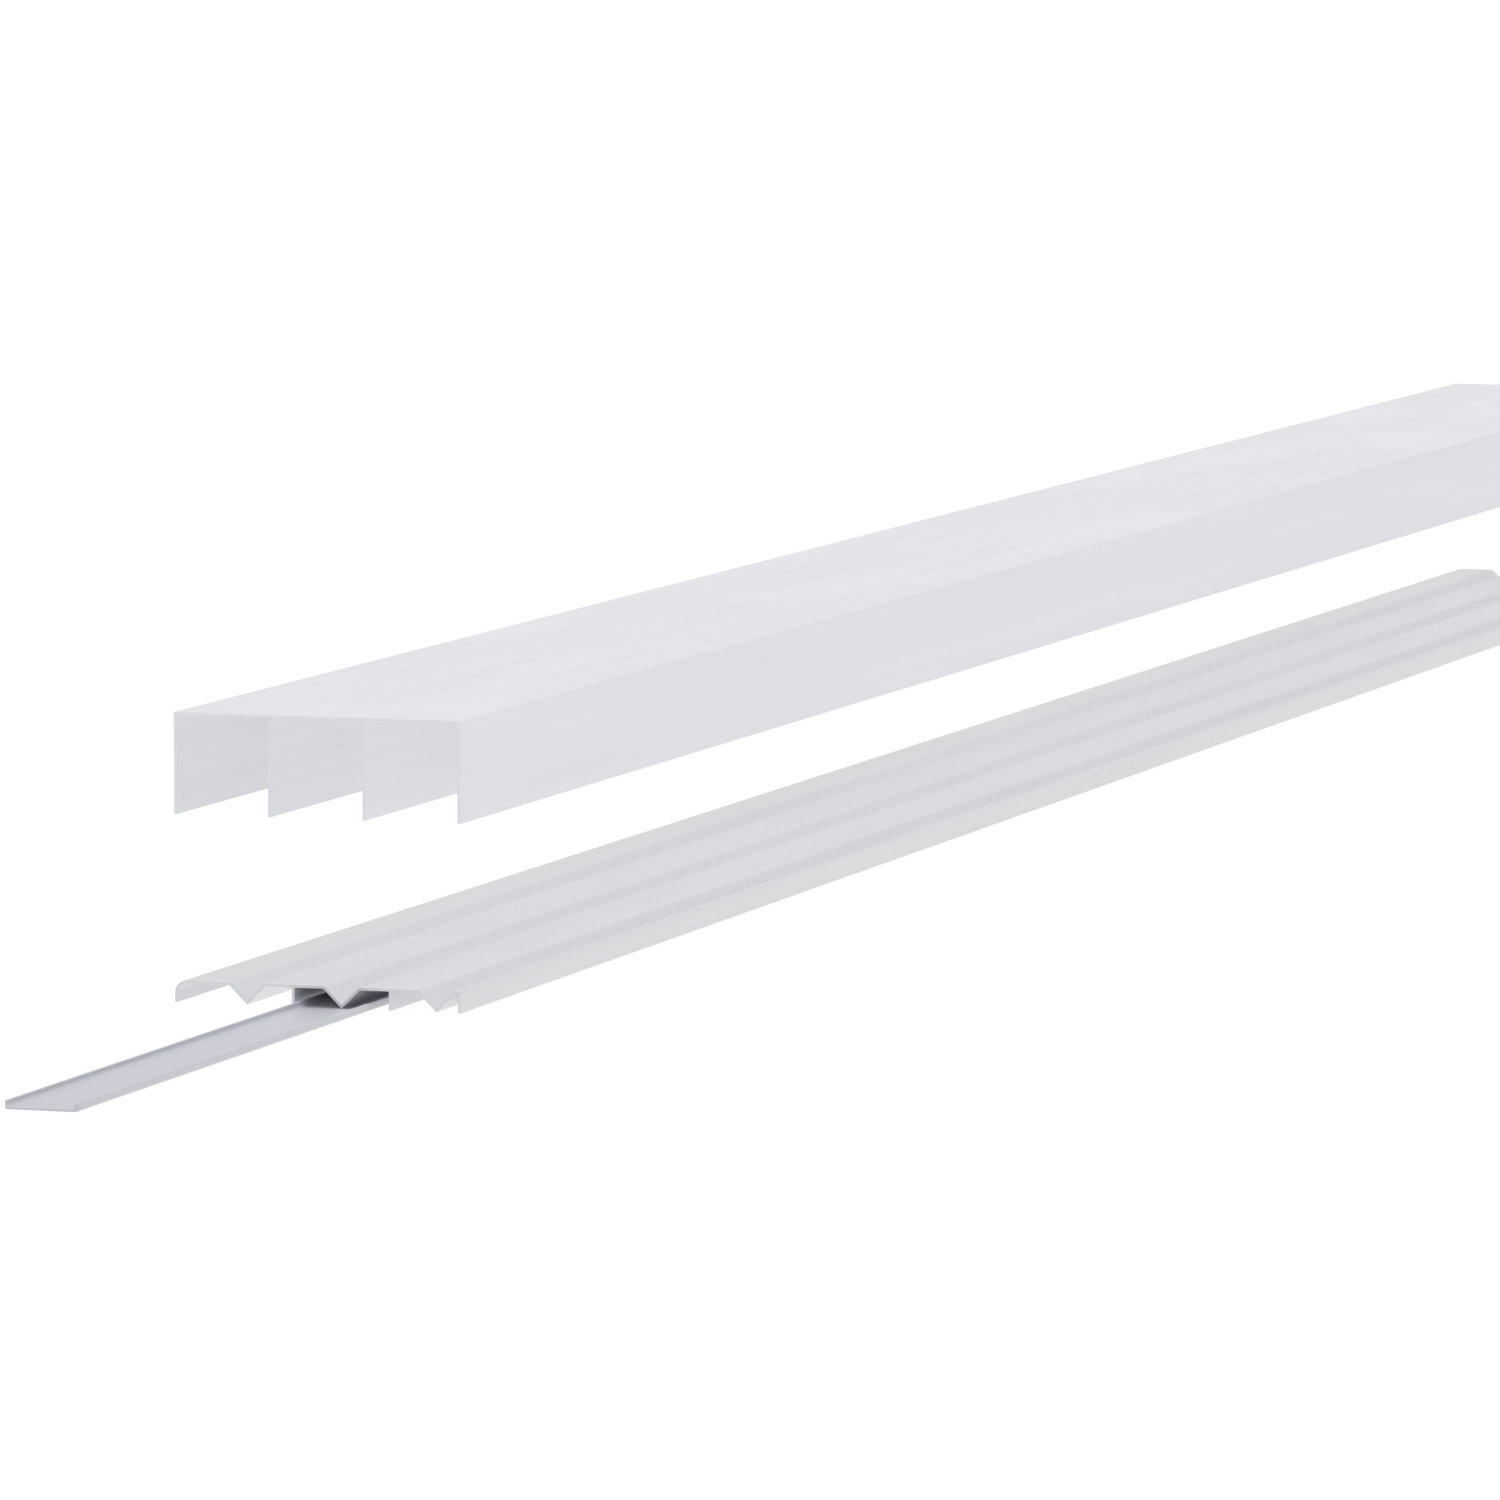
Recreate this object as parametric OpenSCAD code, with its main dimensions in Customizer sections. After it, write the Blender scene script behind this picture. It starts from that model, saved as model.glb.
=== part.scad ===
// Three-channel sliding door track set: a top guide, a bottom rail with
// V grooves, and a floor fixing strip with its adhesive tape.
// X runs across the tracks, Y along them, Z up. The origin is on the floor,
// at the middle of the bottom rail.

/* [Track set] */
// Length of every profile
track_length = 2000; // [600:50:3000]
// Width of the top guide and of the bottom rail
track_width = 118; // [114:1:130]
// Wall thickness of both tracks
wall = 1.2; // [1:0.1:1.6]

/* [Top guide] */
// Height of the top guide, plate and legs together
guide_height = 40; // [25:1:60]
// Height of the guide's lower edge above the floor, as the set lies
guide_lift = 74.5; // [20:0.5:200]
// Radius of the guide's two outer top edges
guide_edge_r = 0.5; // [0.3:0.1:0.9]

/* [Bottom rail] */
// Height of the bottom rail
rail_height = 8.7; // [8:0.1:12]
// Gap between the rail's feet and the floor, left by the fixing strip
rail_rise = 1; // [1:0.1:2]
// Distance from one V groove to the next
groove_pitch = 39; // [38:0.5:42]
// Depth of a V groove, which is also half its width
groove_depth = 7; // [5:0.1:7]
// Distance of the middle groove from the middle of the rail
groove_shift = 10; // [4:0.5:10]
// Radius of the groove's two shoulders
shoulder_r = 1.2; // [0.4:0.1:2]
// Radius in the bottom of the groove
groove_bottom_r = 0.5; // [0.2:0.1:1]
// Radius of the rail's wide rounded edge
rail_edge_r = 5; // [1.8:0.1:6]
// Distance of each inner leg from the middle groove
leg_offset = 20; // [18:0.5:20]

/* [Fixing strip] */
// Width of the fixing strip
strip_width = 29; // [24:0.5:30]
// Height of the strip's rims above the floor
strip_height = 3.4; // [2.5:0.1:4]
// Distance of the strip's middle to the left of the middle groove
strip_shift = 3.2; // [0:0.1:3.5]
// How far the strip is pulled out of the rail's near end
pull_out = 304; // [0:2:560]
// Radius of the strip's corners, seen from above
strip_corner_r = 2; // [1:0.5:5]

/* [Adhesive tape] */
// Width of the adhesive tape
tape_width = 22; // [10:0.5:24]
// Thickness of the adhesive tape
tape_thickness = 0.3; // [0.2:0.05:0.4]

/* [Hidden] */
channels = 3;
tip_clearance = 0.1;                      // between the middle groove's tip and the strip
edge_r = 0.3;                             // smallest radius on the profiles' edges
arc_steps = 5;
half_width = track_width / 2;
leg_pitch = (track_width - wall) / channels;
plate_z = rail_height - wall;             // underside of the rail's plate, above its feet
slope_wall = wall * sqrt(2);              // wall of a groove, measured level
tip_z = rail_height - groove_depth - slope_wall;
tip_r = 0.4;                              // radius under a groove's tip
tip_rise = tip_r * (sqrt(2) - 1);         // the radius lifts the tip by this much
groove_x = [for (i = [-1:1]) groove_shift + i * groove_pitch];
strip_x = groove_shift - strip_shift;
web_top = rail_rise + tip_z + tip_rise - tip_clearance;
rim = 1.3;                                // thickness of the strip's rims
rim_root_r = max(0.1, min(1.8, strip_height - web_top - 0.4)); // fillet inside the rims
strip_under_r = 1.1;                      // radius under the strip's long edges
strip_y = -track_length / 2 - pull_out;   // near end of the strip

// Points on an arc about c, from angle a to angle b.
function arc(c, r, a, b) =
    [for (i = [0:arc_steps]) let (t = a + (b - a) * i / arc_steps) c + r * [cos(t), sin(t)]];

// Extrudes an outline in X and Z along +Y, from y for a length.
module profile(points, y, length)
    translate([0, y + length, 0]) rotate([90, 0, 0]) linear_extrude(length) polygon(points);

// Top of one groove at x, from left to right, on a plate whose top is at z.
function groove_top(x, z) =
    let (tangent = shoulder_r * tan(22.5),
         side = groove_depth + tangent,
         bottom = [x, z - groove_depth + groove_bottom_r * sqrt(2)])
    concat(arc([x - side, z - shoulder_r], shoulder_r, 90, 45),
           arc(bottom, groove_bottom_r, 225, 315),
           arc([x + side, z - shoulder_r], shoulder_r, 135, 90));

// Underside of one groove at x, from right to left, under a plate at plate_z.
function groove_under(x) =
    let (side = plate_z - tip_z)
    concat([[x + side, plate_z]],
           arc([x, tip_z + tip_r * sqrt(2)], tip_r, 315, 225),
           [[x - side, plate_z]]);

// An inner leg whose middle is at x, from right to left.
function leg_under(x) =
    [[x + wall / 2, plate_z], [x + wall / 2, 0], [x - wall / 2, 0], [x - wall / 2, plate_z]];

// Underside of one guide channel, from its right leg to its left leg.
function channel_under(i) =
    let (right = half_width - i * leg_pitch - wall, left = right - leg_pitch + wall)
    [[right, 0], [right, guide_height - wall], [left, guide_height - wall], [left, 0]];

module top_guide() {
    top = guide_height - guide_edge_r;
    side = half_width - guide_edge_r;
    outline = concat(
        [[-half_width, 0]],
        arc([-side, top], guide_edge_r, 180, 90),
        arc([side, top], guide_edge_r, 90, 0),
        [[half_width, 0]],
        [for (i = [0:channels - 1]) each channel_under(i)]);
    color([0.91, 0.92, 0.94])
        translate([0, 0, guide_lift]) profile(outline, -track_length / 2, track_length);
}

module bottom_rail() {
    left = -half_width;
    outline = concat(
        [[left, 0]],
        arc([left + rail_edge_r, rail_height - rail_edge_r], rail_edge_r, 180, 90),
        [for (x = groove_x) each groove_top(x, rail_height)],
        arc([half_width - edge_r, rail_height - edge_r], edge_r, 90, 0),
        [[half_width, 0], [half_width - wall, 0], [half_width - wall, plate_z]],
        groove_under(groove_x[2]),
        leg_under(groove_shift + leg_offset),
        groove_under(groove_x[1]),
        leg_under(groove_shift - leg_offset),
        groove_under(groove_x[0]),
        arc([left + rail_edge_r, rail_height - rail_edge_r], rail_edge_r - wall, 90, 180),
        [[left + wall, 0]]);
    color([0.87, 0.87, 0.88])
        translate([0, 0, rail_rise]) profile(outline, -track_length / 2, track_length);
}

// Plan of the strip: a long rectangle with rounded corners.
module strip_plan() {
    side = strip_width / 2;
    translate([strip_x - side, strip_y + strip_corner_r])
        square([strip_width, track_length - 2 * strip_corner_r]);
    translate([strip_x - side + strip_corner_r, strip_y])
        square([strip_width - 2 * strip_corner_r, track_length]);
    for (x = [-1, 1], y = [0, 1])
        translate([strip_x + x * (side - strip_corner_r),
                   strip_y + strip_corner_r + y * (track_length - 2 * strip_corner_r)])
            circle(strip_corner_r, $fn = 48);
}

module fixing_strip() {
    side = strip_width / 2;
    inner = side - rim;
    low = tape_thickness + strip_under_r;
    root = [inner - rim_root_r, web_top + rim_root_r];
    outline = concat(
        [[inner, strip_height]],
        arc(root, rim_root_r, 0, -90),
        arc([-root[0], root[1]], rim_root_r, 270, 180),
        [[-inner, strip_height], [-side, strip_height]],
        arc([-side + strip_under_r, low], strip_under_r, 180, 270),
        arc([side - strip_under_r, low], strip_under_r, 270, 360),
        [[side, strip_height]]);
    color([0.80, 0.81, 0.84])
        intersection() {
            translate([strip_x, 0, 0]) profile(outline, strip_y, track_length);
            linear_extrude(2 * strip_height) strip_plan();
        }
}

module adhesive_tape() {
    end_gap = strip_corner_r;
    color([0.75, 0.76, 0.78])
        translate([strip_x - tape_width / 2, strip_y + end_gap, 0])
            cube([tape_width, track_length - 2 * end_gap, tape_thickness]);
}

top_guide();
bottom_rail();
fixing_strip();
adhesive_tape();
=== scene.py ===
"""Looks of a three-channel sliding door track set: top guide, bottom rail, fixing strip and its tape.

Lengths are in metres, in the CAD model's frame: X across the tracks, Y along them, Z up.
"""
import math

import bmesh
import bpy
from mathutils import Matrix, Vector


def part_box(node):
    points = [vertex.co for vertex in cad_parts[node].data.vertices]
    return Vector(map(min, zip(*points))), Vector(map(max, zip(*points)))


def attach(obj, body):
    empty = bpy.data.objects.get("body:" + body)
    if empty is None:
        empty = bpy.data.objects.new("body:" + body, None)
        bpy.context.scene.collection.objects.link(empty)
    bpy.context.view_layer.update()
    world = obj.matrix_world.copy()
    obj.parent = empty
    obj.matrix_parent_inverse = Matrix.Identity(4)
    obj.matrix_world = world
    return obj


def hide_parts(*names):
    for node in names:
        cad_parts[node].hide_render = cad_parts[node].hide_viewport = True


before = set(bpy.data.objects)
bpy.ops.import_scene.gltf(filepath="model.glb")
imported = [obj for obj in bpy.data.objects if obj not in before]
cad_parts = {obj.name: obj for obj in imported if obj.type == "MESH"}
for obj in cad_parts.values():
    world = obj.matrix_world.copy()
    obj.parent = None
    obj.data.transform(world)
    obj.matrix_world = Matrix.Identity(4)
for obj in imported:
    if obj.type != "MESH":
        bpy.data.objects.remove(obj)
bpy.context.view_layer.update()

MM = 0.001

# Section sizes that the CAD boxes don't give
WALL = 1.2 * MM
CHANNELS = 3
GROOVE_PITCH = 39 * MM
GROOVE_DEPTH = 7 * MM
GROOVE_SHIFT = 10 * MM
LEG_OFFSET = 20 * MM
RAIL_EDGE_R = 5 * MM
SHOULDER_R = 1.2 * MM
GROOVE_BOTTOM_R = 0.5 * MM
TIP_R = 0.4 * MM
RIM = 1.3 * MM
RIM_ROOT_R = 1.8 * MM
WEB_GAP = 0.1 * MM       # from the middle groove's tip down to the strip's web
STRIP_UNDER_R = 1.1 * MM
STRIP_CORNER_R = 2 * MM

# Small radii left by the extrusion die and by deburring
DIE_R = 0.25 * MM
ROOT_R = 0.4 * MM
DEBURR = 0.12 * MM

ARC_STEP = math.radians(9)       # longest step of an arc
SHARP_ANGLE = math.radians(28)   # edges sharper than this aren't smoothed

# Camera, with its place measured from the middle of the rail's near end, on the floor
CAMERA_OFFSET = Vector((1.4393, -3.8638, 0.5195))
CAMERA_AZIMUTH = math.radians(18.101)
CAMERA_ELEVATION = math.radians(5.795)
CAMERA_LENS = 257.2
CAMERA_SENSOR = 36
CAMERA_REACH = 200

# Stage: a white floor that glows, so that it has no shadows, under a plain pale sky
FLOOR_SIZE = 160
FLOOR_DROP = 0.02 * MM
FLOOR_TONE = 0.1
FLOOR_GLOW = 0.935
WORLD_LEVEL = 0.6

# Wide soft lamps: name, azimuth, elevation and width in degrees, and strength.
# Azimuth 0 is at -Y, 90 at +X.
LAMPS = [
    ("overhead", 0, 90, 60, 1.35),
    ("right", 90, 50, 36, 0.05),
]

GUIDE_COLOUR = (0.79, 0.81, 0.85)
# The rail's colour is the guide's white coat made darker: painted shade for the shadow of the guide above
# it, which casts none
RAIL_COAT_AND_PAINTED_SHADE = (0.70, 0.712, 0.735)
STRIP_COLOUR = (0.59, 0.60, 0.655)
TAPE_COLOUR = (0.70, 0.71, 0.73)


# ---------------------------------------------------------------- outlines

def rounded(corners):
    """Points of a closed outline whose corners are (x, z, radius)."""
    points = []
    for i, (x, z, radius) in enumerate(corners):
        here = Vector((x, z))
        before = (Vector(corners[i - 1][:2]) - here).normalized()
        after = (Vector(corners[(i + 1) % len(corners)][:2]) - here).normalized()
        half = before.angle(after) / 2
        if radius == 0:
            points.append(here)
            continue
        centre = here + (before + after).normalized() * (radius / math.sin(half))
        start = here + before * (radius / math.tan(half)) - centre
        turn = start.angle_signed(here + after * (radius / math.tan(half)) - centre)
        steps = max(2, math.ceil(abs(turn) / ARC_STEP))
        for k in range(steps + 1):
            a = -turn * k / steps
            points.append(centre + Vector((start.x * math.cos(a) - start.y * math.sin(a),
                                           start.x * math.sin(a) + start.y * math.cos(a))))
    return points


def leg(x, top, bottom, root):
    """Corners of a hanging leg with its middle at x, from its right root to its left root."""
    right, left = x + WALL / 2, x - WALL / 2
    return [(right, top, root), (right, bottom, DIE_R), (left, bottom, DIE_R), (left, top, root)]


def guide_outline(low, high):
    """The top guide: a flat plate over four legs."""
    pitch = (high.x - low.x - WALL) / CHANNELS
    under = high.z - WALL
    first = leg(high.x - WALL / 2, under, low.z, ROOT_R)
    last = leg(low.x + WALL / 2, under, low.z, ROOT_R)
    corners = [(low.x, high.z, 2 * DIE_R), (high.x, high.z, 2 * DIE_R)]
    corners += [first[1], first[2], first[3]]
    for i in range(1, CHANNELS):
        corners += leg(high.x - WALL / 2 - i * pitch, under, low.z, ROOT_R)
    return rounded(corners + [last[0], last[1], last[2]])


def rail_outline(low, high):
    """The bottom rail: a thin plate folded into three V grooves, on two edge legs and two inner legs."""
    under = high.z - WALL
    tip = high.z - GROOVE_DEPTH - WALL * math.sqrt(2)
    outer = under - tip
    grooves = [GROOVE_SHIFT + i * GROOVE_PITCH for i in (-1, 0, 1)]
    corners = [(low.x, high.z, RAIL_EDGE_R)]
    for x in grooves:
        corners += [(x - GROOVE_DEPTH, high.z, SHOULDER_R),
                    (x, high.z - GROOVE_DEPTH, GROOVE_BOTTOM_R),
                    (x + GROOVE_DEPTH, high.z, SHOULDER_R)]
    corners += [(high.x, high.z, 2 * DIE_R), (high.x, low.z, DIE_R),
                (high.x - WALL, low.z, DIE_R), (high.x - WALL, under, DIE_R)]
    for x in reversed(grooves):
        corners += [(x + outer, under, ROOT_R), (x, tip, TIP_R), (x - outer, under, ROOT_R)]
        if x == grooves[2]:
            corners += leg(GROOVE_SHIFT + LEG_OFFSET, under, low.z, ROOT_R)
        if x == grooves[1]:
            corners += leg(GROOVE_SHIFT - LEG_OFFSET, under, low.z, ROOT_R)
    corners += [(low.x + WALL, under, RAIL_EDGE_R - WALL), (low.x + WALL, low.z, DIE_R),
                (low.x, low.z, DIE_R)]
    return rounded(corners)


def strip_outline(low, high, web_top):
    """The fixing strip: a thin web between two low rims."""
    return rounded([
        (low.x, high.z, DIE_R), (low.x + RIM, high.z, DIE_R),
        (low.x + RIM, web_top, RIM_ROOT_R), (high.x - RIM, web_top, RIM_ROOT_R),
        (high.x - RIM, high.z, DIE_R), (high.x, high.z, DIE_R),
        (high.x, low.z, STRIP_UNDER_R), (low.x, low.z, STRIP_UNDER_R)])


# ---------------------------------------------------------------- meshes

def inset(points, depth):
    """The outline drawn in by depth on every side."""
    moved = []
    count = len(points)
    for i, here in enumerate(points):
        back = (here - points[i - 1]).normalized()
        ahead = (points[(i + 1) % count] - here).normalized()
        normal = Vector((back.y + ahead.y, -back.x - ahead.x)).normalized()
        stretch = max(0.5, normal.dot(Vector((back.y, -back.x))))
        moved.append(here + normal * (depth / stretch))
    return moved


def prism(outline, near, far, place, end_inset=0.0):
    """A solid of a clockwise outline from near to far, where place(point, t) gives its corners.

    Its ends are drawn in by end_inset, as deburring does.
    """
    rings = [(near, 0), (far, 0)]
    if end_inset:
        rings = [(near, end_inset), (near + end_inset, 0), (far - end_inset, 0), (far, end_inset)]
    bm = bmesh.new()
    loops = []
    for t, depth in rings:
        ring = inset(outline, depth) if depth else outline
        loops.append([bm.verts.new(place(point, t)) for point in ring])
    count = len(outline)
    for a, b in zip(loops, loops[1:]):
        for i in range(count):
            j = (i + 1) % count
            bm.faces.new((a[i], b[i], b[j], a[j]))
    caps = [bm.faces.new(loops[0]), bm.faces.new(list(reversed(loops[-1])))]
    for cap in caps:
        cap.normal_update()
    bmesh.ops.triangulate(bm, faces=caps, ngon_method="EAR_CLIP")
    bmesh.ops.recalc_face_normals(bm, faces=bm.faces)
    return bm


def piece_from(bm, name):
    """A scene object made of a bmesh."""
    mesh = bpy.data.meshes.new(name)
    bm.to_mesh(mesh)
    bm.free()
    piece = bpy.data.objects.new(name, mesh)
    bpy.context.scene.collection.objects.link(piece)
    return piece


def extrusion(name, outline, near, far, end_inset=DEBURR):
    """A profile with that outline in X and Z, from near to far in Y."""
    return piece_from(prism(outline, near, far, lambda p, y: (p.x, y, p.y), end_inset), name)


def round_corners(piece, low, high, radius):
    """Trims the piece to its box, with corners that are rounded seen from above."""
    plan = rounded([(low.x, high.y, radius), (high.x, high.y, radius),
                    (high.x, low.y, radius), (low.x, low.y, radius)])
    reach = high.z - low.z
    cutter = piece_from(prism(plan, low.z - reach, high.z + reach, lambda p, z: (p.x, p.y, z)), "cutter")
    trim = piece.modifiers.new("trim", "BOOLEAN")
    trim.operation = "INTERSECT"
    trim.solver = "EXACT"
    trim.object = cutter
    graph = bpy.context.evaluated_depsgraph_get()
    trimmed = bpy.data.meshes.new_from_object(piece.evaluated_get(graph))
    piece.modifiers.clear()
    piece.data = trimmed
    bpy.data.objects.remove(cutter)


def shade(piece):
    """Smooth shading that breaks at real edges and keeps flat faces flat."""
    piece.data.shade_smooth()
    piece.data.set_sharp_from_angle(angle=SHARP_ANGLE)
    weights = piece.modifiers.new("even shading", "WEIGHTED_NORMAL")
    weights.keep_sharp = True
    weights.weight = 100


# ---------------------------------------------------------------- materials

class Nodes:
    """A material's node tree, with short calls to add and join nodes."""

    def __init__(self, name):
        self.material = bpy.data.materials.new(name)
        self.material.use_nodes = True
        self.tree = self.material.node_tree
        self.shader = self.tree.nodes["Principled BSDF"]

    def add(self, kind, **values):
        node = self.tree.nodes.new(kind)
        for key, value in values.items():
            if hasattr(node, key):
                setattr(node, key, value)
            else:
                node.inputs[key.replace("_", " ").title()].default_value = value
        return node

    def join(self, source, output, target, socket):
        self.tree.links.new(source.outputs[output], target.inputs[socket])

    def noise(self, stretch, scale, detail=3.0, roughness=0.5):
        """Noise over the piece's own coordinates, stretched by a factor on each axis."""
        place = self.add("ShaderNodeTexCoord")
        mapping = self.add("ShaderNodeMapping", Scale=stretch)
        noise = self.add("ShaderNodeTexNoise", Scale=scale, Detail=detail, Roughness=roughness)
        self.join(place, "Object", mapping, "Vector")
        self.join(mapping, "Vector", noise, "Vector")
        return noise

    def spread(self, source, low, high, start=0.3, end=0.7):
        """Maps a noise's middle range to low..high."""
        node = self.add("ShaderNodeMapRange")
        for socket, value in zip(("From Min", "From Max", "To Min", "To Max"), (start, end, low, high)):
            node.inputs[socket].default_value = value
        self.join(source, "Fac", node, "Value")
        return node

    def colour(self, colour, source, output):
        """Makes the shader's colour that colour times the source."""
        tint = self.add("ShaderNodeVectorMath", operation="SCALE")
        tint.inputs[0].default_value = colour
        self.join(source, output, tint, "Scale")
        self.join(tint, "Vector", self.shader, "Base Color")

    def relief(self, source, output, strength, depth):
        """Raises the surface's normals by the source."""
        bump = self.add("ShaderNodeBump", Strength=strength, Distance=depth)
        self.join(source, output, bump, "Height")
        self.join(bump, "Normal", self.shader, "Normal")

    def constants(self, **values):
        """Sets the shader's own sockets."""
        for key, value in values.items():
            self.shader.inputs[key.replace("_", " ")].default_value = value


def coat(name, colour, roughness, specular=0.5):
    """Satin powder coat on an extruded profile: faint lengthwise die bands, mottling and orange peel."""
    n = Nodes(name)
    bands = n.noise((1.0, 0.02, 1.0), 160.0, 4.0)
    mottle = n.noise((1.0, 0.35, 1.0), 22.0, 5.0)
    tone = n.spread(bands, 0.98, 1.02)
    blotch = n.spread(mottle, 0.99, 1.01)
    both = n.add("ShaderNodeMath", operation="MULTIPLY")
    n.join(tone, "Result", both, 0)
    n.join(blotch, "Result", both, 1)
    n.colour(colour, both, "Value")
    gloss = n.spread(mottle, roughness - 0.04, roughness + 0.05)
    n.join(gloss, "Result", n.shader, "Roughness")
    n.constants(Specular_IOR_Level=specular)
    peel = n.noise((1.0, 1.0, 1.0), 900.0, 2.0)
    n.relief(peel, "Fac", 0.35, 0.02 * MM)
    return n.material


def foam():
    """Closed-cell foam tape: fine pits and a slightly uneven tone."""
    n = Nodes("tape foam")
    cells = n.add("ShaderNodeTexVoronoi", Scale=1400.0)
    place = n.add("ShaderNodeTexCoord")
    n.join(place, "Object", cells, "Vector")
    mottle = n.noise((1.0, 1.0, 1.0), 60.0)
    n.colour(TAPE_COLOUR, n.spread(mottle, 0.93, 1.04), "Result")
    n.relief(cells, "Distance", 0.6, 0.08 * MM)
    n.constants(Roughness=0.85)
    return n.material


def floor_material():
    """A plain white floor that glows as a light table does, which takes the shadows off it."""
    n = Nodes("floor")
    n.constants(Base_Color=(FLOOR_TONE, FLOOR_TONE, FLOOR_TONE, 1.0), Roughness=0.9, Specular_IOR_Level=0.0,
                Emission_Color=(1.0, 1.0, 1.0, 1.0), Emission_Strength=FLOOR_GLOW)
    n.material.cycles.emission_sampling = "NONE"
    return n.material


# ---------------------------------------------------------------- pieces

def finish_piece(piece, material, body, node):
    """Shades the piece, and says what it rides on, which CAD node it replaces."""
    shade(piece)
    piece.data.materials.clear()
    piece.data.materials.append(material)
    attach(piece, body)
    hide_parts(node)


def make_guide():
    low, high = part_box("top_guide")
    piece = extrusion("guide_profile", guide_outline(low, high), low.y, high.y)
    # Hidden from shadow and diffuse rays, so that soft light is even in its channels and on the rail
    piece.visible_shadow = False
    piece.visible_diffuse = False
    finish_piece(piece, coat("guide coat", GUIDE_COLOUR, 0.42), "guide", "top_guide")


def make_rail():
    low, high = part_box("bottom_rail")
    piece = extrusion("rail_profile", rail_outline(low, high), low.y, high.y)
    # Its coat colour holds painted shade for the guide above, which casts no shadow on it
    finish_piece(piece, coat("rail coat with painted shade", RAIL_COAT_AND_PAINTED_SHADE, 0.32, 1.0), "rail", "bottom_rail")


def make_strip():
    low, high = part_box("fixing_strip")
    rail_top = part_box("bottom_rail")[1].z
    groove_tip = rail_top - GROOVE_DEPTH - WALL * math.sqrt(2) + TIP_R * (math.sqrt(2) - 1)
    outline = strip_outline(low, high, groove_tip - WEB_GAP)
    piece = extrusion("strip_profile", outline, low.y - STRIP_CORNER_R, high.y + STRIP_CORNER_R)
    round_corners(piece, low, high, STRIP_CORNER_R)
    finish_piece(piece, coat("strip coat", STRIP_COLOUR, 0.38), "strip", "fixing_strip")


def make_tape():
    low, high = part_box("adhesive_tape")
    outline = rounded([(low.x, high.z, 0), (high.x, high.z, 0), (high.x, low.z, 0), (low.x, low.z, 0)])
    piece = extrusion("tape_band", outline, low.y, high.y, 0)
    finish_piece(piece, foam(), "strip", "adhesive_tape")


# ---------------------------------------------------------------- stage

def make_floor():
    bm = bmesh.new()
    bmesh.ops.create_grid(bm, x_segments=4, y_segments=4, size=FLOOR_SIZE / 2)
    floor = piece_from(bm, "floor")
    floor.location.z = -FLOOR_DROP
    floor.data.materials.append(floor_material())


def lamp(name, azimuth, elevation, width, strength):
    """A distant lamp as wide as a softbox, so that it lights the whole length evenly."""
    a, e = math.radians(azimuth), math.radians(elevation)
    towards = Vector((math.sin(a) * math.cos(e), -math.cos(a) * math.cos(e), math.sin(e)))
    data = bpy.data.lights.new(name, "SUN")
    data.angle = math.radians(width)
    data.energy = strength
    light = bpy.data.objects.new(name, data)
    light.location = towards
    light.rotation_euler = (-towards).to_track_quat("-Z", "Y").to_euler()
    bpy.context.scene.collection.objects.link(light)


def make_lights():
    world = bpy.data.worlds.new("studio")
    bpy.context.scene.world = world
    world.use_nodes = True
    back = world.node_tree.nodes["Background"]
    back.inputs["Color"].default_value = (1.0, 1.0, 1.0, 1.0)
    back.inputs["Strength"].default_value = WORLD_LEVEL
    for values in LAMPS:
        lamp(*values)


def make_camera():
    low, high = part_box("bottom_rail")
    near_end = Vector(((low.x + high.x) / 2, low.y, 0.0))
    a, e = CAMERA_AZIMUTH, CAMERA_ELEVATION
    data = bpy.data.cameras.new("camera")
    data.lens = CAMERA_LENS
    data.sensor_width = CAMERA_SENSOR
    data.clip_end = CAMERA_REACH
    camera = bpy.data.objects.new("camera", data)
    camera.location = near_end + CAMERA_OFFSET
    ahead = Vector((-math.sin(a) * math.cos(e), math.cos(a) * math.cos(e), -math.sin(e)))
    camera.rotation_euler = ahead.to_track_quat("-Z", "Y").to_euler()
    bpy.context.scene.collection.objects.link(camera)
    bpy.context.scene.camera = camera


make_camera()
make_guide()
make_rail()
make_strip()
make_tape()
make_floor()
make_lights()
bpy.context.scene.view_settings.view_transform = "Standard"
